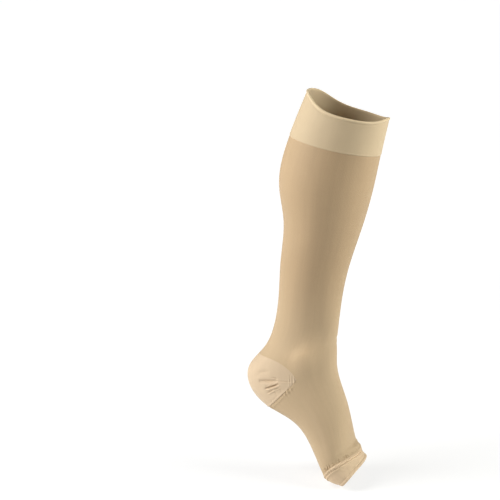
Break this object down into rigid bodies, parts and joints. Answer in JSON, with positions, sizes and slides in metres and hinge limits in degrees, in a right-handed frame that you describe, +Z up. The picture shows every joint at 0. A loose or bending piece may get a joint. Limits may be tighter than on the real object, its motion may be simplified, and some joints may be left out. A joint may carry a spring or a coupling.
{
  "type": "open-toe knee-high compression stocking",
  "caption": "Hollow knitted stocking for a left leg, from under the knee to the toe joints, with a doubled top band, a cupped heel pocket and an open hemmed toe.",
  "frame": {"origin": "middle of the top opening, under the knee, where the leg leaves it", "axes": "+Z up, +X towards the toes, +Y towards the outer side of a left leg; the leg leans back by about 11 degrees and the heel is lifted"},
  "size_m": [0.1828, 0.1146, 0.5111],
  "materials": {
    "leg_knit": "fine ribbed knit, matt with a soft sheen, tan",
    "band_knit": "close doubled knit, matt, pale cream",
    "heel_knit": "close plain knit, matt, pale tan",
    "toe_knit": "doubled turned hem, matt, pale tan"
  },
  "bodies": {
    "root": {"top_band": "band_knit", "leg": "leg_knit", "heel_pocket": "heel_knit", "foot": "leg_knit", "toe_band": "toe_knit"}
  },
  "joints": []
}
